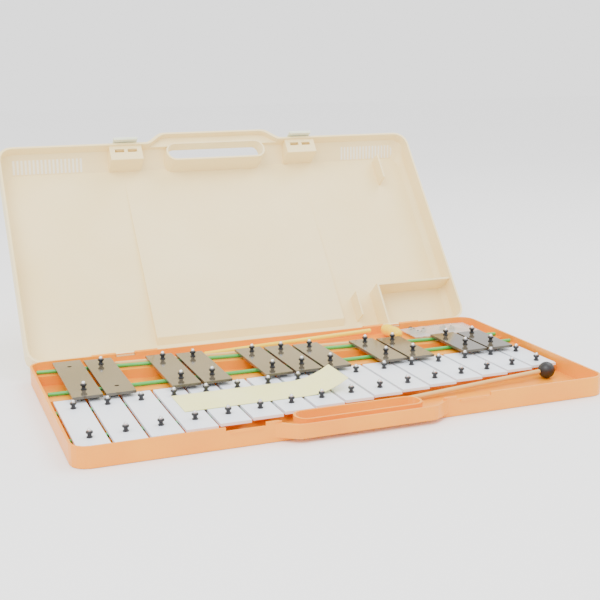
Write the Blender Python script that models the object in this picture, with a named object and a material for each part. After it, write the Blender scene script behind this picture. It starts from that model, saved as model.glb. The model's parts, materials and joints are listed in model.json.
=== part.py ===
"""A 27-bar metallophone in a hinged plastic case, with its lid standing open.

World frame: metres, +X along the case, +Y to the back, +Z up.
The origin is the centre of the case's underside.
"""

import math

import bmesh
import bpy
from mathutils import Matrix, Vector

# Case
CASE_WIDTH = 0.458
CASE_DEPTH = 0.240
BASE_HEIGHT = 0.0166
LID_DEPTH = 0.0279
WALL = 0.0020
CORNER_RADIUS = 0.014
GAP = 0.0003

# Lid slopes: heights are above the rim
FRONT_BREAK = 0.0125
SIDE_BREAK = 0.0203
FRONT_SLOPE = 0.0190
SIDE_CHAMFER = 0.0065
BACK_BREAK = 0.02275
BACK_CHAMFER = 0.0041

# Hinges
AXIS_BEHIND_WALL = 0.0010
AXIS_BELOW_RIM = 0.0018
KNUCKLE_RADIUS = 0.0026
HINGE_PIN_RADIUS = 0.0009
HINGE_X = 0.1392
TAB_WIDTH = 0.0174
BOSS_WIDTH = 0.0220
TABLE_GAP = 0.0002

# Carrying handle and its finger hole
HANDLE_HALF_WIDTH = 0.056
HANDLE_CURVE = 0.0215
HANDLE_REACH = 0.0112
HANDLE_LIFT = 0.0035
HANDLE_RIM_DROP = 0.0017
LID_HANDLE_HEIGHT = 0.0090
FINGER_HALF_WIDTH = 0.055
FINGER_DEPTH = 0.0223
FINGER_WALL = 0.0019
FINGER_WALL_HEIGHT = 0.0146

# Latches
LATCH_X = 0.0980
LATCH_WIDTH = 0.0260
LATCH_PLATE = 0.0016
LATCH_AXIS_HEIGHT = 0.0090
LATCH_REACH = 0.0052
LATCH_KNUCKLE = 0.0018
LATCH_PIN_RADIUS = 0.0007
CATCH_REACH = 0.0011
CATCH_HEIGHT = 0.0012
NOTCH_DEPTH = 0.0030
NOTCH_WIDTH = 0.0320

# Bars
BAR_PITCH = 0.0280
BAR_WIDTH = 0.0252
BAR_THICKNESS = 0.0024
NATURAL_TOP = 0.0115
ACCIDENTAL_TOP = 0.0171
HOLE_RADIUS = 0.0022
NATURALS = ["g5", "a5", "b5", "c6", "d6", "e6", "f6", "g6", "a6", "b6", "c7", "d7", "e7", "f7", "g7", "a7"]
ACCIDENTALS = {
    1.5: "gs5",
    2.5: "as5",
    4.5: "cs6",
    5.5: "ds6",
    7.5: "fs6",
    8.5: "gs6",
    9.5: "as6",
    11.5: "cs7",
    12.5: "ds7",
    14.5: "fs7",
    15.5: "gs7",
}
MIDDLE_INDEX = 8.5
NATURAL_BACK = 0.0110
NATURAL_FRONT_MIDDLE = -0.0818
NATURAL_FRONT_STEP = 0.00387
ACCIDENTAL_FRONT = -0.0016
ACCIDENTAL_BACK_MIDDLE = 0.0856
ACCIDENTAL_BACK_STEP = -0.00355
PEG_LINES = {
    "natural_front": (-0.0632, 0.00310),
    "natural_back": (-0.0094, 0.00052),
    "accidental_front": (0.0175, 0.0),
    "accidental_back": (0.0723, -0.00271),
}
MISSING_PEGS = {("accidental_back", 1.5), ("accidental_front", 2.5)}

# Pegs
PEG_HEIGHT = 0.0078
SHAFT_RADIUS = 0.00165
FLANGE_RADIUS = 0.0028
FOOT_RADIUS = 0.0025
DOME_RADIUS = 0.0017
SPOOL_HEIGHT = 0.0052
CARRIER_WIDTH = 0.0030
CARRIER_THICKNESS = 0.0012

# Support tubes
TUBE_RADIUS = 0.0017
TUBE_HALF_LENGTH = 0.2245
TUBE_OFFSETS = {
    "natural_front": 0.0112,
    "natural_back": 0.0050,
    "accidental_front": 0.0105,
    "accidental_back": 0.0050,
}
RAIL_MARGIN = 0.0030

# Shelf, mallets, sheet and bag
SHELF_TOP = 0.0084
STICK_RADIUS = 0.0020
BALL_RADIUS = 0.0075
BALL_CENTRE = (0.2044, -0.0651)
FRONT_STICK_END = (0.0280, -0.0814)
YELLOW_STICK_RADIUS = 0.0023
YELLOW_STICK = ((-0.0663, 0.1048), (0.1105, 0.1085))
YELLOW_HEAD = ((0.1262, 0.1062), (0.1300, 0.0865))
LOBE_RADIUS = 0.0066
WOOD_STICK = ((-0.1520, 0.1072), (0.0800, 0.0868))
SHEET_LENGTH = 0.1060
SHEET_CURL = 0.0360
SHEET_CURL_RISE = 0.0112
SHEET_WIDTH = 0.0440
SHEET_THICKNESS = 0.0004
SHEET_CORNER = (-0.1290, -0.0580)
BAG_LOW = (0.1450, 0.0760)
BAG_HIGH = (0.2200, 0.1130)
BAG_HEIGHT = 0.0080

HALF_WIDTH = CASE_WIDTH / 2
HALF_DEPTH = CASE_DEPTH / 2
FRONT = -HALF_DEPTH
AXIS_Y = HALF_DEPTH + AXIS_BEHIND_WALL
AXIS_Z = BASE_HEIGHT - AXIS_BELOW_RIM
TALL = 0.06


def clear_scene():
    for obj in list(bpy.data.objects):
        bpy.data.objects.remove(obj, do_unlink=True)


def new_collection(name):
    made = bpy.data.collections.new(name)
    bpy.context.scene.collection.children.link(made)
    return made


def material(name, colour, roughness, metallic=0.0):
    made = bpy.data.materials.new(name)
    made.use_nodes = True
    shader = made.node_tree.nodes["Principled BSDF"]
    shader.inputs["Base Color"].default_value = (*colour, 1.0)
    shader.inputs["Roughness"].default_value = roughness
    shader.inputs["Metallic"].default_value = metallic
    made.diffuse_color = (*colour, 1.0)
    return made


def from_bmesh(name, shape):
    bmesh.ops.recalc_face_normals(shape, faces=shape.faces)
    mesh = bpy.data.meshes.new(name)
    shape.to_mesh(mesh)
    shape.free()
    obj = bpy.data.objects.new(name, mesh)
    PARTS.objects.link(obj)
    return obj


def box(name, low, high):
    shape = bmesh.new()
    bmesh.ops.create_cube(shape, size=1.0)
    size = Vector(high) - Vector(low)
    bmesh.ops.scale(shape, vec=size, verts=shape.verts)
    bmesh.ops.translate(shape, vec=(Vector(high) + Vector(low)) / 2, verts=shape.verts)
    return from_bmesh(name, shape)


def rod(name, start, end, radius, sides=8):
    """A closed cylinder from start to end."""
    start, end = Vector(start), Vector(end)
    along = end - start
    shape = bmesh.new()
    bmesh.ops.create_cone(
        shape, cap_ends=True, segments=sides, radius1=radius, radius2=radius, depth=along.length
    )
    turn = along.to_track_quat("Z", "Y").to_matrix().to_4x4()
    bmesh.ops.transform(shape, matrix=Matrix.Translation((start + end) / 2) @ turn, verts=shape.verts)
    return from_bmesh(name, shape)


def loft(name, rings):
    """A closed solid through rings that hold the same number of points."""
    shape = bmesh.new()
    loops = [[shape.verts.new(point) for point in ring] for ring in rings]
    count = len(loops[0])
    for lower, upper in zip(loops, loops[1:]):
        for i in range(count):
            j = (i + 1) % count
            shape.faces.new((lower[i], lower[j], upper[j], upper[i]))
    shape.faces.new(loops[0][::-1])
    shape.faces.new(loops[-1])
    return from_bmesh(name, shape)


def slab(name, outline, low, high):
    return loft(name, [[(x, y, z) for x, y in outline] for z in (low, high)])


def rounded(x0, x1, y0, y1, radius, steps=4):
    """A rectangle's outline with round corners."""
    points = []
    corners = [(x1, y1, 0), (x0, y1, 90), (x0, y0, 180), (x1, y0, 270)]
    for x, y, first in corners:
        cx = x - radius if x == x1 else x + radius
        cy = y - radius if y == y1 else y + radius
        for k in range(steps + 1):
            angle = math.radians(first + 90 * k / steps)
            points.append((cx + radius * math.cos(angle), cy + radius * math.sin(angle)))
    return points


def bulge(inset):
    """The handle's outline, run back into the case so that it joins it."""
    steps = 6
    right = []
    for k in range(steps + 1):
        share = k / steps
        ease = share * share * (3 - 2 * share)
        x = HANDLE_HALF_WIDTH + HANDLE_CURVE * (1 - share) - inset
        right.append((x, FRONT + 0.0005 - (HANDLE_REACH + 0.0005) * ease + inset))
    inner = FRONT + 0.0015 + inset
    outline = [(right[0][0], inner), *right]
    return outline + [(-x, y) for x, y in reversed(outline)]


def combine(target, other, operation):
    """Bakes one Boolean into the target and removes the other object."""
    modifier = target.modifiers.new("combine", "BOOLEAN")
    modifier.object = other
    modifier.operation = operation
    graph = bpy.context.evaluated_depsgraph_get()
    result = bpy.data.meshes.new_from_object(target.evaluated_get(graph))
    target.modifiers.clear()
    target.data = result
    bpy.data.objects.remove(other, do_unlink=True)
    return target


def finish(obj, look):
    obj.data.materials.clear()
    obj.data.materials.append(look)
    return obj


def index_x(index):
    return BAR_PITCH * (index - MIDDLE_INDEX)


def line_y(line, x):
    middle, step = PEG_LINES[line]
    return middle + step * x / BAR_PITCH


def rail_outline(line):
    """The rib under one row of pegs and its support tube."""
    end = HALF_WIDTH - WALL / 2
    front = -RAIL_MARGIN
    back = TUBE_OFFSETS[line] + RAIL_MARGIN
    return [
        (-end, line_y(line, -end) + front),
        (end, line_y(line, end) + front),
        (end, line_y(line, end) + back),
        (-end, line_y(line, -end) + back),
    ]


def bar_bottom(line):
    top = NATURAL_TOP if line.startswith("natural") else ACCIDENTAL_TOP
    return top - BAR_THICKNESS


def tube_z(line):
    return bar_bottom(line) - GAP - TUBE_RADIUS


def rail_top(line):
    return tube_z(line) - TUBE_RADIUS - GAP


def make_base(look):
    base = slab(
        "base_tray",
        rounded(-HALF_WIDTH, HALF_WIDTH, -HALF_DEPTH, HALF_DEPTH, CORNER_RADIUS),
        0.0,
        BASE_HEIGHT,
    )
    combine(base, slab("handle", bulge(0.0), HANDLE_LIFT, BASE_HEIGHT - HANDLE_RIM_DROP), "UNION")
    inside = rounded(
        -HALF_WIDTH + WALL, HALF_WIDTH - WALL, FRONT + WALL, HALF_DEPTH - WALL, CORNER_RADIUS - WALL
    )
    combine(base, slab("inside", inside, WALL, TALL), "DIFFERENCE")
    combine(base, slab("handle_inside", bulge(WALL), HANDLE_LIFT + WALL, TALL), "DIFFERENCE")
    for line in PEG_LINES:
        combine(base, slab("rail", rail_outline(line), WALL / 2, rail_top(line)), "UNION")
    end = HALF_WIDTH - WALL / 2
    start = TUBE_OFFSETS["accidental_back"] + RAIL_MARGIN + 0.001
    shelf = [
        (-end, line_y("accidental_back", -end) + start),
        (end, line_y("accidental_back", end) + start),
        (end, HALF_DEPTH - WALL / 2),
        (-end, HALF_DEPTH - WALL / 2),
    ]
    shelf_box = slab("shelf", shelf, WALL / 2, SHELF_TOP)
    outside = rounded(-end, end, FRONT + 0.001, HALF_DEPTH - WALL / 2, CORNER_RADIUS - WALL / 2)
    combine(shelf_box, slab("trim", outside, -TALL, TALL), "INTERSECT")
    combine(base, shelf_box, "UNION")
    finger_front = FRONT + 0.0004
    finger_back = finger_front + FINGER_DEPTH
    wall = rounded(
        -FINGER_HALF_WIDTH, FINGER_HALF_WIDTH, finger_front, finger_back, FINGER_DEPTH * 0.45
    )
    combine(base, slab("finger_wall", wall, WALL / 2, FINGER_WALL_HEIGHT), "UNION")
    combine(base, finger_hole(), "DIFFERENCE")
    for side in (-1, 1):
        notch_z = BASE_HEIGHT - NOTCH_DEPTH
        x = side * LATCH_X
        half = NOTCH_WIDTH / 2
        combine(
            base,
            box("notch", (x - half, FRONT - 0.01, notch_z), (x + half, FRONT + WALL + 0.001, TALL)),
            "DIFFERENCE",
        )
        half = LATCH_WIDTH / 2 - GAP
        catch_low = (x - half, FRONT - CATCH_REACH, notch_z - CATCH_HEIGHT - 0.0003)
        catch_high = (x + half, FRONT + WALL / 2, notch_z - 0.0003)
        combine(base, box("catch", catch_low, catch_high), "UNION")
        for way in (-1, 1):
            near = side * HINGE_X + way * (TAB_WIDTH / 2 + 0.0006)
            far = near + way * BOSS_WIDTH
            web_low = (min(near, far), HALF_DEPTH - WALL / 2, AXIS_Z - KNUCKLE_RADIUS * 0.7)
            web_high = (max(near, far), AXIS_Y, BASE_HEIGHT - 0.0003)
            combine(base, box("web", web_low, web_high), "UNION")
            boss = rod("boss", (near, AXIS_Y, AXIS_Z), (far, AXIS_Y, AXIS_Z), KNUCKLE_RADIUS, 12)
            combine(base, boss, "UNION")
        cut_half = TAB_WIDTH / 2 + 0.0005
        relief = rod(
            "relief",
            (side * HINGE_X - cut_half, AXIS_Y, AXIS_Z),
            (side * HINGE_X + cut_half, AXIS_Y, AXIS_Z),
            KNUCKLE_RADIUS + 0.0006,
            16,
        )
        combine(base, relief, "DIFFERENCE")
        combine(base, hinge_bore(side), "DIFFERENCE")
    return finish(base, look)


def finger_hole():
    front = FRONT + 0.0004 + FINGER_WALL
    back = front + FINGER_DEPTH - 2 * FINGER_WALL
    half = FINGER_HALF_WIDTH - FINGER_WALL
    return slab(
        "finger_hole", rounded(-half, half, front, back, (back - front) * 0.45), -TALL, 2 * TALL
    )


def hinge_bore(side):
    reach = TAB_WIDTH / 2 + BOSS_WIDTH + 0.005
    x = side * HINGE_X
    radius = HINGE_PIN_RADIUS + GAP
    return rod("bore", (x - reach, AXIS_Y, AXIS_Z), (x + reach, AXIS_Y, AXIS_Z), radius, 12)


def lid_form(name, inset, low, high):
    """The lid's shape when closed, drawn in by inset, from low to high above the rim."""

    def ring(height):
        z = BASE_HEIGHT + height
        front_share = max(0.0, height - FRONT_BREAK) / (LID_DEPTH - FRONT_BREAK)
        side_share = max(0.0, height - SIDE_BREAK) / (LID_DEPTH - SIDE_BREAK)
        back_share = max(0.0, height - BACK_BREAK) / (LID_DEPTH - BACK_BREAK)
        side = inset + side_share * SIDE_CHAMFER
        back = inset + back_share * BACK_CHAMFER
        front = inset + front_share * FRONT_SLOPE
        corner = CORNER_RADIUS - inset * 0.6
        outline = rounded(
            -HALF_WIDTH + side, HALF_WIDTH - side, FRONT + front, HALF_DEPTH - back, corner
        )
        return [(x, y, z) for x, y in outline]

    breaks = [FRONT_BREAK - inset * 0.5, SIDE_BREAK - inset * 0.4, BACK_BREAK - inset * 0.4]
    return loft(name, [ring(height) for height in [low, *breaks, high]])


def lid_feature(lid, feature):
    """Trims a wall or rib to end inside the lid's skin, then joins it."""
    combine(feature, lid_form("trim", WALL / 2, -0.002, LID_DEPTH - WALL / 2), "INTERSECT")
    combine(lid, feature, "UNION")


def make_lid(look):
    lid = lid_form("lid", 0.0, 0.0, LID_DEPTH)
    handle = slab("handle", bulge(0.0), BASE_HEIGHT, BASE_HEIGHT + LID_HANDLE_HEIGHT)
    combine(lid, handle, "UNION")
    combine(lid, lid_form("inside", WALL, -0.002, LID_DEPTH - WALL), "DIFFERENCE")
    hollow_top = BASE_HEIGHT + LID_HANDLE_HEIGHT - WALL
    combine(lid, slab("handle_inside", bulge(WALL), -TALL, hollow_top), "DIFFERENCE")
    rim = BASE_HEIGHT
    top = BASE_HEIGHT + LID_DEPTH
    wall = rounded(
        -FINGER_HALF_WIDTH,
        FINGER_HALF_WIDTH,
        FRONT + 0.0012,
        FRONT + 0.0004 + FINGER_DEPTH,
        FINGER_DEPTH * 0.45,
    )
    lid_feature(lid, slab("finger_wall", wall, rim + 0.002, top + 0.01))
    features = [
        ((0.140, 0.069, rim + 0.0025), (0.142, HALF_DEPTH, top)),
        ((0.1405, 0.069, rim + 0.0026), (HALF_WIDTH, 0.071, top)),
        ((0.190, -0.0973, rim + 0.0085), (0.192, -0.0665, top)),
        ((0.1166, 0.0726, rim + 0.0086), (0.1182, 0.1006, top)),
    ]
    for low, high in features:
        lid_feature(lid, box("rib", low, high))
    for side in (-1, 1):
        x = side * LATCH_X
        low = (x - 0.017, FRONT + WALL / 2, rim + 0.0024)
        high = (x + 0.017, FRONT + 0.019, top)
        lid_feature(lid, box("latch_housing", low, high))
        for shift in (-0.0068, 0.0068):
            slot_low = (x + shift - 0.005, FRONT + 0.006, rim - 0.01)
            slot_high = (x + shift + 0.005, FRONT + 0.010, rim + 0.009)
            combine(lid, box("slot", slot_low, slot_high), "DIFFERENCE")
        axis_z = rim + LATCH_AXIS_HEIGHT
        axis_y = FRONT - LATCH_KNUCKLE - GAP
        for way in (-1, 1):
            near = x + way * (LATCH_WIDTH / 2 + GAP)
            far = near + way * 0.004
            boss = rod("boss", (near, axis_y, axis_z), (far, axis_y, axis_z), LATCH_KNUCKLE, 10)
            inset = 0.0001
            web_low = (min(near, far) + inset, axis_y + inset, axis_z - LATCH_KNUCKLE * 0.47)
            web_high = (max(near, far) - inset, FRONT + WALL / 2, axis_z + LATCH_KNUCKLE * 0.47)
            combine(boss, box("web", web_low, web_high), "UNION")
            combine(lid, boss, "UNION")
        combine(lid, latch_bore(side), "DIFFERENCE")
        half = TAB_WIDTH / 2
        hinge_x = side * HINGE_X
        ends = [(hinge_x - half, AXIS_Y, AXIS_Z), (hinge_x + half, AXIS_Y, AXIS_Z)]
        tab = rod("tab", *ends, KNUCKLE_RADIUS, 12)
        web_low = (hinge_x - half, HALF_DEPTH - WALL / 2, AXIS_Z + KNUCKLE_RADIUS * 0.5)
        web_high = (hinge_x + half, AXIS_Y + KNUCKLE_RADIUS * 0.6, rim + 0.008)
        combine(tab, box("web", web_low, web_high), "UNION")
        for way in (-1, 1):
            near = hinge_x + way * (half + 0.0002)
            far = near + way * (BOSS_WIDTH + 0.0012)
            relief = rod(
                "relief", (near, AXIS_Y, AXIS_Z), (far, AXIS_Y, AXIS_Z), KNUCKLE_RADIUS + 0.0006, 16
            )
            combine(lid, relief, "DIFFERENCE")
        combine(lid, tab, "UNION")
        combine(lid, hinge_bore(side), "DIFFERENCE")
    combine(lid, finger_hole(), "DIFFERENCE")
    return finish(lid, look)


def latch_bore(side):
    x = side * LATCH_X
    reach = LATCH_WIDTH / 2 + 0.008
    y = FRONT - LATCH_KNUCKLE - GAP
    z = BASE_HEIGHT + LATCH_AXIS_HEIGHT
    return rod("bore", (x - reach, y, z), (x + reach, y, z), LATCH_PIN_RADIUS + GAP, 8)


def make_latch(side, look):
    name = "latch_left" if side < 0 else "latch_right"
    x = side * LATCH_X
    half = LATCH_WIDTH / 2 - GAP
    axis_y = FRONT - LATCH_KNUCKLE - GAP
    axis_z = BASE_HEIGHT + LATCH_AXIS_HEIGHT
    outer = FRONT - CATCH_REACH - GAP - LATCH_PLATE
    low = (x - half, outer, BASE_HEIGHT - LATCH_REACH - 0.0008)
    high = (x + half, outer + LATCH_PLATE, axis_z)
    latch = box(name, low, high)
    knuckle = rod("knuckle", (x - half, axis_y, axis_z), (x + half, axis_y, axis_z), LATCH_KNUCKLE, 10)
    combine(latch, knuckle, "UNION")
    hook_high = (x + half * 0.95, FRONT - GAP, BASE_HEIGHT - LATCH_REACH + 0.0002)
    hook_low = (x - half * 0.95, outer + LATCH_PLATE / 2, BASE_HEIGHT - LATCH_REACH - 0.0006)
    combine(latch, box("hook", hook_low, hook_high), "UNION")
    combine(latch, latch_bore(side), "DIFFERENCE")
    return finish(latch, look)


def make_bar(name, x, front, back, top, lines, look):
    half = BAR_WIDTH / 2
    bar = box(name, (x - half, front, top - BAR_THICKNESS), (x + half, back, top))
    for line in lines:
        y = line_y(line, x)
        combine(bar, rod("hole", (x, y, -TALL), (x, y, TALL), HOLE_RADIUS, 8), "DIFFERENCE")
    return finish(bar, look)


def make_peg(x, y, foot, top, sides=6):
    """One spool with the steel pin's dome above it, from the carrier up through its bar."""
    seat = top + GAP
    profile = [
        (SHAFT_RADIUS, foot),
        (SHAFT_RADIUS, seat),
        (FOOT_RADIUS, seat + 0.0001),
        (FOOT_RADIUS, seat + 0.0012),
        (SHAFT_RADIUS, seat + 0.0018),
        (SHAFT_RADIUS, seat + 0.0036),
        (FLANGE_RADIUS, seat + 0.0038),
        (FLANGE_RADIUS, seat + SPOOL_HEIGHT),
        (DOME_RADIUS, seat + SPOOL_HEIGHT + 0.0002),
        (DOME_RADIUS * 0.7, seat + PEG_HEIGHT - 0.0006),
    ]
    rings = []
    for radius, z in profile:
        ring = []
        for k in range(sides):
            angle = 2 * math.pi * k / sides
            ring.append((x + radius * math.cos(angle), y + radius * math.sin(angle), z))
        rings.append(ring)
    return loft("peg", rings)


def make_peg_row(line, indexes, look):
    low = rail_top(line) + GAP
    half = CARRIER_WIDTH / 2
    first = index_x(min(indexes)) - 0.003
    last = index_x(max(indexes)) + 0.003
    outline = [
        (first, line_y(line, first) - half),
        (last, line_y(line, last) - half),
        (last, line_y(line, last) + half),
        (first, line_y(line, first) + half),
    ]
    row = slab("pegs_" + line, outline, low, low + CARRIER_THICKNESS)
    top = bar_bottom(line) + BAR_THICKNESS
    for index in indexes:
        if (line, index) in MISSING_PEGS:
            continue
        x = index_x(index)
        combine(row, make_peg(x, line_y(line, x), low + CARRIER_THICKNESS / 2, top), "UNION")
    return finish(row, look)


def make_tube(line, look):
    z = tube_z(line)
    ends = []
    for x in (-TUBE_HALF_LENGTH, TUBE_HALF_LENGTH):
        ends.append((x, line_y(line, x) + TUBE_OFFSETS[line], z))
    return finish(rod("tube_" + line, ends[0], ends[1], TUBE_RADIUS, 8), look)


def ball(name, centre, radius):
    shape = bmesh.new()
    bmesh.ops.create_uvsphere(shape, u_segments=12, v_segments=8, radius=radius)
    bmesh.ops.translate(shape, vec=centre, verts=shape.verts)
    return from_bmesh(name, shape)


def make_mallets(wood, black, yellow):
    centre = Vector((*BALL_CENTRE, WALL + GAP + BALL_RADIUS))
    tip = Vector((*FRONT_STICK_END, WALL + GAP + STICK_RADIUS + 0.0002))
    finish(ball("front_mallet_head", centre, BALL_RADIUS), black)
    near = centre + (tip - centre).normalized() * (BALL_RADIUS + GAP)
    finish(rod("front_mallet_stick", near, tip, STICK_RADIUS), wood)
    lobe_z = SHELF_TOP + GAP + LOBE_RADIUS
    head = ball("yellow_mallet_head", (*YELLOW_HEAD[0], lobe_z), LOBE_RADIUS)
    combine(head, ball("lobe", (*YELLOW_HEAD[1], lobe_z), LOBE_RADIUS), "UNION")
    neck = rod("neck", (*YELLOW_HEAD[0], lobe_z), (*YELLOW_HEAD[1], lobe_z), LOBE_RADIUS * 0.85, 12)
    combine(head, neck, "UNION")
    finish(head, yellow)
    z = SHELF_TOP + GAP + YELLOW_STICK_RADIUS
    stick = rod(
        "yellow_mallet_stick", (*YELLOW_STICK[0], z), (*YELLOW_STICK[1], lobe_z), YELLOW_STICK_RADIUS
    )
    combine(stick, ball("room", (*YELLOW_HEAD[0], lobe_z), LOBE_RADIUS + GAP), "DIFFERENCE")
    finish(stick, yellow)
    z = SHELF_TOP + GAP + STICK_RADIUS
    stick = rod("back_mallet_stick", (*WOOD_STICK[0], z), (*WOOD_STICK[1], z), STICK_RADIUS)
    finish(stick, wood)


def make_sheet(look):
    """The sheet lies on the naturals, and its right end curls up."""
    low = NATURAL_TOP + GAP
    x, y = SHEET_CORNER
    steps = 5
    spots = [(x, low)]
    for k in range(steps + 1):
        share = k / steps
        spots.append((x + SHEET_LENGTH + SHEET_CURL * share, low + SHEET_CURL_RISE * share * share))
    rings = []
    for px, pz in spots:
        rings.append(
            [
                (px, y, pz),
                (px, y + SHEET_WIDTH, pz),
                (px, y + SHEET_WIDTH, pz + SHEET_THICKNESS),
                (px, y, pz + SHEET_THICKNESS),
            ]
        )
    return finish(loft("note_label_sheet", rings), look)


def make_bag(look):
    low = SHELF_TOP + GAP
    x0, y0 = BAG_LOW
    x1, y1 = BAG_HIGH
    rings = []
    for height, inset in [(0.0, 0.002), (0.3, 0.0), (0.7, 0.002), (1.0, 0.008)]:
        outline = rounded(x0 + inset, x1 - inset, y0 + inset, y1 - inset, 0.006, 2)
        rings.append([(x, y, low + BAG_HEIGHT * height) for x, y in outline])
    return finish(loft("spare_peg_bag", rings), look)


def open_angle():
    """The opening angle at which the lid's back edge comes down to the table."""
    points = [
        (AXIS_BEHIND_WALL, BACK_BREAK + AXIS_BELOW_RIM),
        (AXIS_BEHIND_WALL + BACK_CHAMFER, LID_DEPTH + AXIS_BELOW_RIM),
    ]
    angle = math.radians(90)
    step = math.radians(0.05)
    while angle < math.radians(160):
        lean = angle + step - math.pi / 2
        lowest = min(AXIS_Z + s * math.cos(lean) - h * math.sin(lean) for s, h in points)
        if lowest < TABLE_GAP:
            break
        angle += step
    return angle


def hang(child, axis_empty):
    """Parents a piece modelled in the closed pose, so that it opens with the lid."""
    child.data.transform(Matrix.Translation(-Vector((0.0, AXIS_Y, AXIS_Z))))
    child.parent = axis_empty


def main():
    orange = material("orange_plastic", (0.95, 0.33, 0.02), 0.45)
    cream = material("cream_plastic", (0.93, 0.82, 0.58), 0.45)
    clear = material("latch_plastic", (0.80, 0.84, 0.70), 0.3)
    white = material("white_bar", (0.87, 0.90, 0.95), 0.5)
    dark = material("dark_bar", (0.15, 0.14, 0.12), 0.2)
    green = material("green_tube", (0.12, 0.55, 0.15), 0.4)
    black = material("black_rubber", (0.02, 0.02, 0.02), 0.5)
    steel = material("steel_pin", (0.70, 0.70, 0.70), 0.25, 1.0)
    wood = material("mallet_wood", (0.75, 0.50, 0.15), 0.6)
    yellow = material("yellow_plastic", (0.95, 0.75, 0.03), 0.35)
    paper = material("label_paper", (0.95, 0.95, 0.60), 0.8)
    film = material("bag_film", (0.70, 0.70, 0.65), 0.3)

    make_base(orange)
    for number, name in enumerate(NATURALS, start=1):
        x = index_x(number)
        front = NATURAL_FRONT_MIDDLE + NATURAL_FRONT_STEP * (number - MIDDLE_INDEX)
        lines = ["natural_front", "natural_back"]
        make_bar("bar_" + name, x, front, NATURAL_BACK, NATURAL_TOP, lines, white)
    for number, name in ACCIDENTALS.items():
        x = index_x(number)
        back = ACCIDENTAL_BACK_MIDDLE + ACCIDENTAL_BACK_STEP * (number - MIDDLE_INDEX)
        lines = ["accidental_front", "accidental_back"]
        make_bar("bar_" + name, x, ACCIDENTAL_FRONT, back, ACCIDENTAL_TOP, lines, dark)
    for line in PEG_LINES:
        make_tube(line, green)
        natural = line.startswith("natural")
        indexes = range(1, len(NATURALS) + 1) if natural else list(ACCIDENTALS)
        make_peg_row(line, indexes, black)
    make_mallets(wood, black, yellow)
    make_sheet(paper)
    make_bag(film)

    axis = bpy.data.objects.new("lid_hinge_axis", None)
    PARTS.objects.link(axis)
    axis.location = (0.0, AXIS_Y, AXIS_Z)
    axis.rotation_euler = (-open_angle(), 0.0, 0.0)
    hang(make_lid(cream), axis)
    for side, word in ((-1, "left"), (1, "right")):
        hang(make_latch(side, clear), axis)
        x = side * LATCH_X
        y = FRONT - LATCH_KNUCKLE - GAP
        z = BASE_HEIGHT + LATCH_AXIS_HEIGHT
        reach = LATCH_WIDTH / 2 + 0.004
        pin = rod("latch_pin_" + word, (x - reach, y, z), (x + reach, y, z), LATCH_PIN_RADIUS)
        hang(finish(pin, steel), axis)
        x = side * HINGE_X
        reach = TAB_WIDTH / 2 + BOSS_WIDTH
        ends = [(x - reach, AXIS_Y, AXIS_Z), (x + reach, AXIS_Y, AXIS_Z)]
        pin = rod("hinge_pin_" + word, *ends, HINGE_PIN_RADIUS)
        finish(pin, steel)


clear_scene()
PARTS = new_collection("metallophone")
main()
bpy.context.view_layer.update()
print("lid opens by", round(math.degrees(open_angle()), 2), "degrees")
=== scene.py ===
"""The looks of the open metallophone: finishes, finer pegs, tubes, beaters, vents and the bag."""

import json
import math

import bmesh
import bpy
from mathutils import Matrix, Vector, noise


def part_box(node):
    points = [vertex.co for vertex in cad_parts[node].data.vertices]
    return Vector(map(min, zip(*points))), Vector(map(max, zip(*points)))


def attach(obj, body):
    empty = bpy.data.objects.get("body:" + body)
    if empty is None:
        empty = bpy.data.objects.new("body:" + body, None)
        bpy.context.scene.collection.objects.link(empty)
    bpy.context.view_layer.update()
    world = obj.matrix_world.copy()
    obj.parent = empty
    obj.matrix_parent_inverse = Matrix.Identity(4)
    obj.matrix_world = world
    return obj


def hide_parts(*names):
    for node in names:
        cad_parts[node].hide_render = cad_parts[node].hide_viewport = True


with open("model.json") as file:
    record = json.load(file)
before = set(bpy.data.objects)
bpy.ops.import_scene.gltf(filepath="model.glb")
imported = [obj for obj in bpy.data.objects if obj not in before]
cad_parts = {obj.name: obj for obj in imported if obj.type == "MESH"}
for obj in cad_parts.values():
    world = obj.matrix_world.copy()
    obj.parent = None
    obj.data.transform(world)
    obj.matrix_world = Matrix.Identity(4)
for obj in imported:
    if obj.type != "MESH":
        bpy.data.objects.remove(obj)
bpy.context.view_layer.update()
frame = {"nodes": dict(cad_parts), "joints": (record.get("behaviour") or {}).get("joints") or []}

# Camera, fitted to the photograph
CAMERA_PLACE = (-0.33103, -0.84448, 0.28371)
CAMERA_YAW = 20.958
CAMERA_PITCH = 12.678
CAMERA_ROLL = -0.665
CAMERA_LENS = 63.75
SENSOR_WIDTH = 36.0

# Stage. A softbox has a place, a size and a power.
FLOOR_SIZE = 6.0
FLOOR_DROP = 0.0005
WORLD_STRENGTH = 1.9
SOFTBOXES = [((-0.9, -0.9, 1.6), 1.2, 34), ((1.0, 0.1, 1.5), 1.0, 14)]

# Finishes
TONE_EDGES = (0.3, 0.7)
TONE_DETAIL = 4
GRAIN_SCALE = 30
GRAIN_DEPTH = 0.0003
WOOD_STRETCH = (0.12, 1, 1)
FILM_ALPHA = 0.55
SHARP_ANGLE = 40

# Bars. Only the accidental ones reach above this height.
NATURAL_TOP_LIMIT = 0.014

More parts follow.
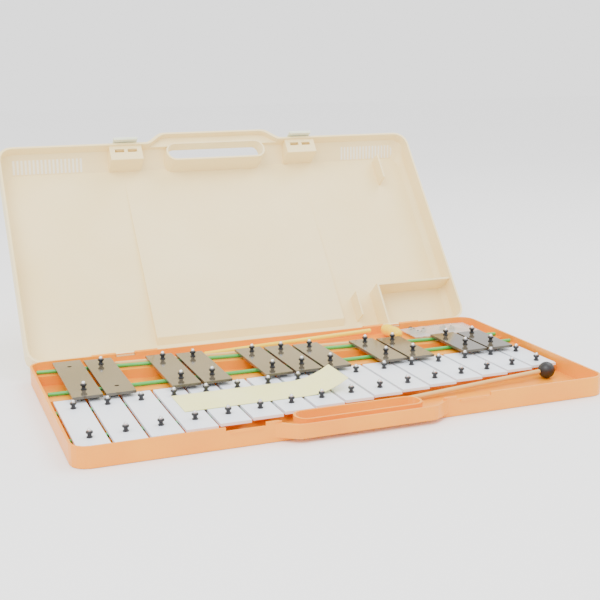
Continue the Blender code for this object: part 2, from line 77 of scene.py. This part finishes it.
# Pegs. A line gives its Y at the middle index, the change in Y for each index, and its bars.
BAR_PITCH = 0.0280
MIDDLE_INDEX = 8.5
NATURALS = [float(number) for number in range(1, 17)]
ACCIDENTALS = [1.5, 2.5, 4.5, 5.5, 7.5, 8.5, 9.5, 11.5, 12.5, 14.5, 15.5]
PEG_LINES = {
    "natural_front": (-0.0632, 0.00310, NATURALS),
    "natural_back": (-0.0094, 0.00052, NATURALS),
    "accidental_front": (0.0175, 0.0, ACCIDENTALS),
    "accidental_back": (0.0723, -0.00271, ACCIDENTALS),
}
MISSING_PEGS = {("accidental_back", 1.5), ("accidental_front", 2.5)}
PEG_HEIGHT = 0.0078
SPOOL_PROFILE = [
    (0.0, 0.0002),
    (0.0024, 0.0002),
    (0.0025, 0.0005),
    (0.0024, 0.0011),
    (0.0017, 0.0016),
    (0.00165, 0.0032),
    (0.0025, 0.0037),
    (0.0028, 0.0041),
    (0.0028, 0.0050),
    (0.0025, 0.0054),
    (0.0, 0.0054),
]
DOME_PROFILE = [
    (0.0, 0.0053),
    (0.0016, 0.0053),
    (0.0017, 0.0060),
    (0.0014, 0.0070),
    (0.0008, 0.0076),
    (0.0, PEG_HEIGHT),
]

# Rods. SOFT_EDGE and SOFT_EDGE_OUT are shares of the radius, SOFT_EDGE_UP of the soft edge.
STICK_RADIUS = 0.0020
YELLOW_STICK_RADIUS = 0.0023
SOFT_EDGE = 0.4
SOFT_EDGE_OUT = 0.9
SOFT_EDGE_UP = 0.3
END_FACE_REACH = 0.0025

# Lobed head
LOBE_STEPS = 24
LOBE_SIDES = 32
LOBE_FILL = 0.97
LOBE_BLUNTNESS = 3
WAIST_DEPTH = 0.16
WAIST_WIDTH = 0.12

# Bag, in shares of its half size
BAG_CUTS = 22
BAG_FILL_X = 0.98
BAG_FILL_Y = 0.96
BAG_EDGE_POWER = 6
BAG_EDGE_THICKNESS = 0.12
BAG_SWELL = 0.55
BAG_DROP = 0.25
BAG_FOLD_SCALE = (4.0, 3.0, 0.5)
BAG_FOLD_DEPTH = 0.225
BAG_MOUTH = -0.9
BAG_RIPPLE = 0.03
BAG_RIPPLE_RATE = 40

# Spare spools in the bag: X and Y in shares of the bag's half size, and turns in degrees
SPARE_HEIGHT = 0.003
SPARE_SIDES = 12
SPARE_SPOOLS = [
    (-0.8, 0.35, 20),
    (-0.72, 0.6, 75),
    (-0.6, -0.2, 130),
    (-0.5, 0.1, 50),
    (0.1, 0.3, 10),
    (0.4, -0.1, 95),
]

# Lid's middle panel and vents, placed as on the closed lid
LID_FLOOR = 0.0425
PANEL_HALF_WIDTH = 0.1003
PANEL_FRONT = -0.0960
PANEL_CREASE = 0.0980
PANEL_BACK = 0.1040
PANEL_STEP = 0.0065
PANEL_LIFT = 0.0002
VENT_COUNT = 18
VENT_SPANS = [(-0.2147, -0.1419), (0.1512, 0.2212)]
VENT_LOW = (0, -0.1150, 0.0326)
VENT_HIGH = (0, -0.1030, 0.0422)
SLAT_SHARE = 0.5
SLAT_THICKNESS = 0.0004
SLAT_INSET = 0.0010


def shader_of(made):
    return made.node_tree.nodes["Principled BSDF"]


def surface(name, dark, light, scale, roughness, bump=0.05, metallic=0.0, stretch=(1, 1, 1)):
    """A finish whose colour drifts between two tones, with a fine bump."""
    made = bpy.data.materials.new(name)
    made.use_nodes = True
    nodes, links = made.node_tree.nodes, made.node_tree.links
    shader = shader_of(made)
    place = nodes.new("ShaderNodeTexCoord")
    mapping = nodes.new("ShaderNodeMapping")
    mapping.inputs["Scale"].default_value = stretch
    links.new(place.outputs["Object"], mapping.inputs["Vector"])
    cloud = nodes.new("ShaderNodeTexNoise")
    cloud.inputs["Scale"].default_value = scale
    cloud.inputs["Detail"].default_value = TONE_DETAIL
    links.new(mapping.outputs["Vector"], cloud.inputs["Vector"])
    ramp = nodes.new("ShaderNodeValToRGB")
    for element, position, tone in zip(ramp.color_ramp.elements, TONE_EDGES, (dark, light)):
        element.position = position
        element.color = (*tone, 1)
    links.new(cloud.outputs["Fac"], ramp.inputs["Fac"])
    links.new(ramp.outputs["Color"], shader.inputs["Base Color"])
    grain = nodes.new("ShaderNodeTexNoise")
    grain.inputs["Scale"].default_value = scale * GRAIN_SCALE
    links.new(mapping.outputs["Vector"], grain.inputs["Vector"])
    relief = nodes.new("ShaderNodeBump")
    relief.inputs["Strength"].default_value = bump
    relief.inputs["Distance"].default_value = GRAIN_DEPTH
    links.new(grain.outputs["Fac"], relief.inputs["Height"])
    links.new(relief.outputs["Normal"], shader.inputs["Normal"])
    shader.inputs["Roughness"].default_value = roughness
    shader.inputs["Metallic"].default_value = metallic
    return made


def dress(node, look):
    """Gives a CAD node its finish."""
    obj = frame["nodes"][node]
    obj.data.materials.clear()
    obj.data.materials.append(look)


def new_piece(name, shape, look, smooth=True):
    """Makes an object of the shape, which it uses up."""
    bmesh.ops.recalc_face_normals(shape, faces=shape.faces)
    mesh = bpy.data.meshes.new(name)
    shape.to_mesh(mesh)
    shape.free()
    if smooth:
        mesh.shade_smooth()
        mesh.set_sharp_from_angle(angle=math.radians(SHARP_ANGLE))
    mesh.materials.append(look)
    obj = bpy.data.objects.new(name, mesh)
    bpy.context.scene.collection.objects.link(obj)
    return obj


def turned(shape, profile, matrix, sides=24):
    """Adds a turned solid to the shape. The profile starts and ends on the axis."""
    rings = []
    for radius, z in profile:
        if radius == 0.0:
            rings.append([shape.verts.new(matrix @ Vector((0, 0, z)))])
            continue
        ring = []
        for k in range(sides):
            angle = 2 * math.pi * k / sides
            point = Vector((radius * math.cos(angle), radius * math.sin(angle), z))
            ring.append(shape.verts.new(matrix @ point))
        rings.append(ring)
    for lower, upper in zip(rings, rings[1:]):
        for k in range(sides):
            j = (k + 1) % sides
            if len(lower) == 1:
                shape.faces.new((lower[0], upper[j], upper[k]))
            elif len(upper) == 1:
                shape.faces.new((lower[k], lower[j], upper[0]))
            else:
                shape.faces.new((lower[k], lower[j], upper[j], upper[k]))


def along(start, end):
    """The matrix that lays local Z from start towards end, and the distance between them."""
    start, end = Vector(start), Vector(end)
    turn = (end - start).to_track_quat("Z", "Y").to_matrix().to_4x4()
    return Matrix.Translation(start) @ turn, (end - start).length


def round_rod(name, start, end, radius, look, nodes, body):
    """A rod with softly rounded ends that stands for a CAD node."""
    matrix, length = along(start, end)
    soft = radius * SOFT_EDGE
    edge_middle = (radius * SOFT_EDGE_OUT, soft * SOFT_EDGE_UP)
    profile = [(0.0, 0.0), (radius - soft, 0.0), edge_middle, (radius, soft)]
    profile += [(r, length - z) for r, z in reversed(profile)]
    shape = bmesh.new()
    turned(shape, profile, matrix)
    obj = new_piece(name, shape, look)
    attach(obj, body)
    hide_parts(*nodes)


def node_ends(node):
    """The middles of a slim rod's two end faces, at its lowest and highest X."""
    points = [vertex.co.copy() for vertex in frame["nodes"][node].data.vertices]
    low = min(point.x for point in points)
    high = max(point.x for point in points)
    ends = []
    for edge in (low, high):
        near = [point for point in points if abs(point.x - edge) < END_FACE_REACH]
        ends.append(sum(near, Vector()) / len(near))
    return ends


def make_pegs(rubber, steel):
    """Black spools and steel domes along each line of pegs."""
    for line, (middle, step, indexes) in PEG_LINES.items():
        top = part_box("pegs_" + line)[1][2] - PEG_HEIGHT
        spools = bmesh.new()
        domes = bmesh.new()
        for index in indexes:
            if (line, index) in MISSING_PEGS:
                continue
            offset = index - MIDDLE_INDEX
            place = Matrix.Translation((BAR_PITCH * offset, middle + step * offset, top))
            turned(spools, SPOOL_PROFILE, place)
            turned(domes, DOME_PROFILE, place)
        spool_piece = new_piece("spools_" + line, spools, rubber)
        dome_piece = new_piece("pins_" + line, domes, steel)
        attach(spool_piece, "case")
        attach(dome_piece, "case")
        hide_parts("pegs_" + line)


def make_ball(name, node, look, body):
    """A ball as wide as the CAD node that it stands for."""
    low, high = (Vector(corner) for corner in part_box(node))
    shape = bmesh.new()
    bmesh.ops.create_uvsphere(shape, u_segments=40, v_segments=24, radius=(high.x - low.x) / 2)
    bmesh.ops.translate(shape, vec=(low + high) / 2, verts=shape.verts)
    obj = new_piece(name, shape, look)
    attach(obj, body)
    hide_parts(node)


def make_lobed_head(look):
    """Two rounded lobes with a waist between them."""
    low, high = (Vector(corner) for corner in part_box("yellow_mallet_head"))
    radius = (high.z - low.z) / 2
    start = Vector((low.x + radius, high.y, (low.z + high.z) / 2))
    end = Vector((high.x - radius, low.y, (low.z + high.z) / 2))
    matrix, length = along(start, end)
    profile = [(0.0, 0.0)]
    for k in range(1, LOBE_STEPS):
        share = k / LOBE_STEPS
        cap = math.sqrt(max(0.0, 1 - abs(2 * share - 1) ** LOBE_BLUNTNESS))
        waist = 1 - WAIST_DEPTH * math.exp(-(((share - 0.5) / WAIST_WIDTH) ** 2))
        profile.append((radius * LOBE_FILL * cap * waist, length * share))
    profile.append((0.0, length))
    shape = bmesh.new()
    turned(shape, profile, matrix, LOBE_SIDES)
    obj = new_piece("yellow_beater_head", shape, look)
    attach(obj, "yellow_mallet")
    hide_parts("yellow_mallet_head")


def make_bag(film, rubber):
    """A slack film bag: a pillow with wandering folds, and spare spools inside."""
    low, high = (Vector(corner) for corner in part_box("spare_peg_bag"))
    middle, half = (low + high) / 2, (high - low) / 2
    shape = bmesh.new()
    bmesh.ops.create_cube(shape, size=2.0)
    bmesh.ops.subdivide_edges(shape, edges=shape.edges, cuts=BAG_CUTS, use_grid_fill=True)
    for vertex in shape.verts:
        x, y, z = vertex.co
        inside = (1 - abs(x) ** BAG_EDGE_POWER) * (1 - abs(y) ** BAG_EDGE_POWER)
        spot = Vector((x * BAG_FOLD_SCALE[0], y * BAG_FOLD_SCALE[1], z * BAG_FOLD_SCALE[2]))
        fold = noise.noise(spot) * BAG_FOLD_DEPTH
        lift = z * (BAG_EDGE_THICKNESS + BAG_SWELL * inside) + fold * inside
        ripple = BAG_RIPPLE * math.sin(x * BAG_RIPPLE_RATE) if y < BAG_MOUTH else 0.0
        rise = max(-1.0, min(1.0, lift - BAG_DROP))
        along_x = half.x * x * BAG_FILL_X
        along_y = half.y * (y * BAG_FILL_Y + ripple)
        vertex.co = middle + Vector((along_x, along_y, half.z * rise))
    bag = new_piece("peg_bag_film", shape, film)
    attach(bag, "case")
    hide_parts("spare_peg_bag")
    spares = bmesh.new()
    for x, y, turn in SPARE_SPOOLS:
        tilt = Matrix.Rotation(math.radians(turn), 4, "Z") @ Matrix.Rotation(math.radians(90), 4, "Y")
        spot = (middle.x + half.x * x, middle.y + half.y * y, low.z + SPARE_HEIGHT)
        turned(spares, SPOOL_PROFILE, Matrix.Translation(spot) @ tilt, SPARE_SIDES)
    loose = new_piece("spare_spools", spares, rubber)
    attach(loose, "case")


def lid_opening():
    """The turn that takes a point of the closed lid to where the open lid has it."""
    hinge = next(joint for joint in frame["joints"] if joint["name"] == "lid_hinge")
    axis = Vector(hinge["pos_m"])
    turn = Matrix.Rotation(-math.radians(hinge["range_deg"][1]), 4, "X")
    return Matrix.Translation(axis) @ turn @ Matrix.Translation(-axis)


def make_lid_panel(look):
    """The middle of the lid steps in towards the hinge, between two creases."""
    opened = lid_opening()
    shape = bmesh.new()
    profile = [(PANEL_FRONT, LID_FLOOR), (PANEL_CREASE, LID_FLOOR - PANEL_STEP), (PANEL_BACK, LID_FLOOR)]
    ends = []
    for x in (-PANEL_HALF_WIDTH, PANEL_HALF_WIDTH):
        ends.append([shape.verts.new(opened @ Vector((x, y, z + PANEL_LIFT))) for y, z in profile])
    shape.faces.new(ends[0])
    shape.faces.new(ends[1][::-1])
    for k in range(3):
        j = (k + 1) % 3
        shape.faces.new((ends[0][k], ends[0][j], ends[1][j], ends[1][k]))
    panel = new_piece("lid_middle_panel", shape, look, smooth=False)
    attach(panel, "lid_body")


def make_vents(look):
    """Raised slats across the lid's inner front slope, one group by each corner."""
    opened = lid_opening()
    low, high = Vector(VENT_LOW), Vector(VENT_HIGH)
    normal = Vector((0, -(high.z - low.z), high.y - low.y)).normalized()
    slope = (high - low).to_track_quat("Z", "Y").to_matrix().to_4x4()
    middle = (low + high) / 2 - normal * SLAT_INSET
    for number, (first, last) in enumerate(VENT_SPANS):
        pitch = (last - first) / VENT_COUNT
        size = Vector((pitch * SLAT_SHARE, SLAT_THICKNESS, (high - low).length))
        shape = bmesh.new()
        for k in range(VENT_COUNT):
            x = first + pitch * (k + 0.5)
            made = bmesh.ops.create_cube(shape, size=1.0)["verts"]
            matrix = opened @ Matrix.Translation((x, middle.y, middle.z)) @ slope
            bmesh.ops.scale(shape, vec=size, verts=made)
            bmesh.ops.transform(shape, matrix=matrix, verts=made)
        vents = new_piece("lid_vents_" + str(number), shape, look, smooth=False)
        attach(vents, "lid_body")


def make_stage():
    """A white floor, an even white sky and two softboxes."""
    shape = bmesh.new()
    bmesh.ops.create_grid(shape, x_segments=1, y_segments=1, size=FLOOR_SIZE)
    floor_white = surface("floor_white", (0.97, 0.97, 0.97), (0.98, 0.98, 0.98), 2.0, 0.7)
    floor = new_piece("floor", shape, floor_white, smooth=False)
    floor.location.z = -FLOOR_DROP
    world = bpy.data.worlds.new("studio")
    world.use_nodes = True
    background = world.node_tree.nodes["Background"]
    background.inputs["Color"].default_value = (1, 1, 1, 1)
    background.inputs["Strength"].default_value = WORLD_STRENGTH
    bpy.context.scene.world = world
    for place, size, power in SOFTBOXES:
        lamp = bpy.data.lights.new("softbox", "AREA")
        lamp.size = size
        lamp.energy = power
        light = bpy.data.objects.new("softbox", lamp)
        light.location = place
        light.rotation_euler = (-Vector(place)).to_track_quat("-Z", "Y").to_euler()
        bpy.context.scene.collection.objects.link(light)


def make_camera():
    """The camera at the photograph's viewing angle."""
    data = bpy.data.cameras.new("camera")
    data.lens = CAMERA_LENS
    data.sensor_width = SENSOR_WIDTH
    camera = bpy.data.objects.new("camera", data)
    yaw, pitch = math.radians(CAMERA_YAW), math.radians(CAMERA_PITCH)
    way = Vector((math.sin(yaw) * math.cos(pitch), math.cos(yaw) * math.cos(pitch), -math.sin(pitch)))
    turn = way.to_track_quat("-Z", "Y").to_matrix().to_4x4()
    roll = Matrix.Rotation(math.radians(CAMERA_ROLL), 4, "Z")
    camera.matrix_world = Matrix.Translation(CAMERA_PLACE) @ turn @ roll
    bpy.context.scene.collection.objects.link(camera)
    bpy.context.scene.camera = camera


make_camera()
make_stage()

orange = surface("orange_plastic", (0.90, 0.28, 0.003), (0.98, 0.37, 0.006), 12, 0.38)
cream = surface("cream_plastic", (0.93, 0.74, 0.36), (0.97, 0.81, 0.45), 9, 0.42)
pale = surface("pale_vent", (0.95, 0.90, 0.74), (0.98, 0.94, 0.82), 9, 0.4)
latch = surface("latch_plastic", (0.76, 0.82, 0.62), (0.84, 0.88, 0.70), 30, 0.25)
white = surface("white_bar", (0.80, 0.86, 0.95), (0.88, 0.92, 0.98), 20, 0.42, bump=0.08)
dark = surface("dark_bar", (0.075, 0.062, 0.042), (0.11, 0.095, 0.07), 14, 0.12, bump=0.02)
green = surface("green_tube", (0.05, 0.38, 0.06), (0.08, 0.47, 0.09), 40, 0.35)
rubber = surface("black_rubber", (0.010, 0.010, 0.011), (0.02, 0.02, 0.022), 200, 0.42)
steel = surface("steel_pin", (0.65, 0.65, 0.66), (0.78, 0.78, 0.80), 300, 0.2, bump=0.02, metallic=1.0)
wood = surface("mallet_wood", (0.62, 0.38, 0.1), (0.8, 0.55, 0.2), 60, 0.5, bump=0.15, stretch=WOOD_STRETCH)
yellow = surface("yellow_plastic", (0.93, 0.60, 0.004), (0.98, 0.70, 0.01), 30, 0.28)
paper = surface("label_paper", (0.93, 0.91, 0.36), (0.97, 0.95, 0.46), 25, 0.8)
film = surface("bag_film", (0.62, 0.60, 0.52), (0.78, 0.77, 0.72), 60, 0.22, bump=0.3)
shader_of(film).inputs["Alpha"].default_value = FILM_ALPHA

for node in frame["nodes"]:
    if node.startswith("bar_"):
        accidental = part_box(node)[1][2] > NATURAL_TOP_LIMIT
        dress(node, dark if accidental else white)
dress("base_tray", orange)
dress("lid", cream)
dress("note_label_sheet", paper)
for side in ("left", "right"):
    dress("latch_" + side, latch)
    dress("latch_pin_" + side, steel)
    dress("hinge_pin_" + side, steel)

make_pegs(rubber, steel)
for line in PEG_LINES:
    node = "tube_" + line
    start, end = node_ends(node)
    radius = (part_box(node)[1][2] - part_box(node)[0][2]) / 2
    round_rod("round_" + node, start, end, radius, green, [node], "case")
for node, body, look, radius in [
    ("front_mallet_stick", "front_mallet", wood, STICK_RADIUS),
    ("back_mallet_stick", "back_mallet", wood, STICK_RADIUS),
    ("yellow_mallet_stick", "yellow_mallet", yellow, YELLOW_STICK_RADIUS),
]:
    start, end = node_ends(node)
    round_rod("round_" + node, start, end, radius, look, [node], body)
make_ball("black_beater_ball", "front_mallet_head", rubber, "front_mallet")
make_lobed_head(yellow)
make_bag(film, rubber)
make_vents(pale)
make_lid_panel(cream)
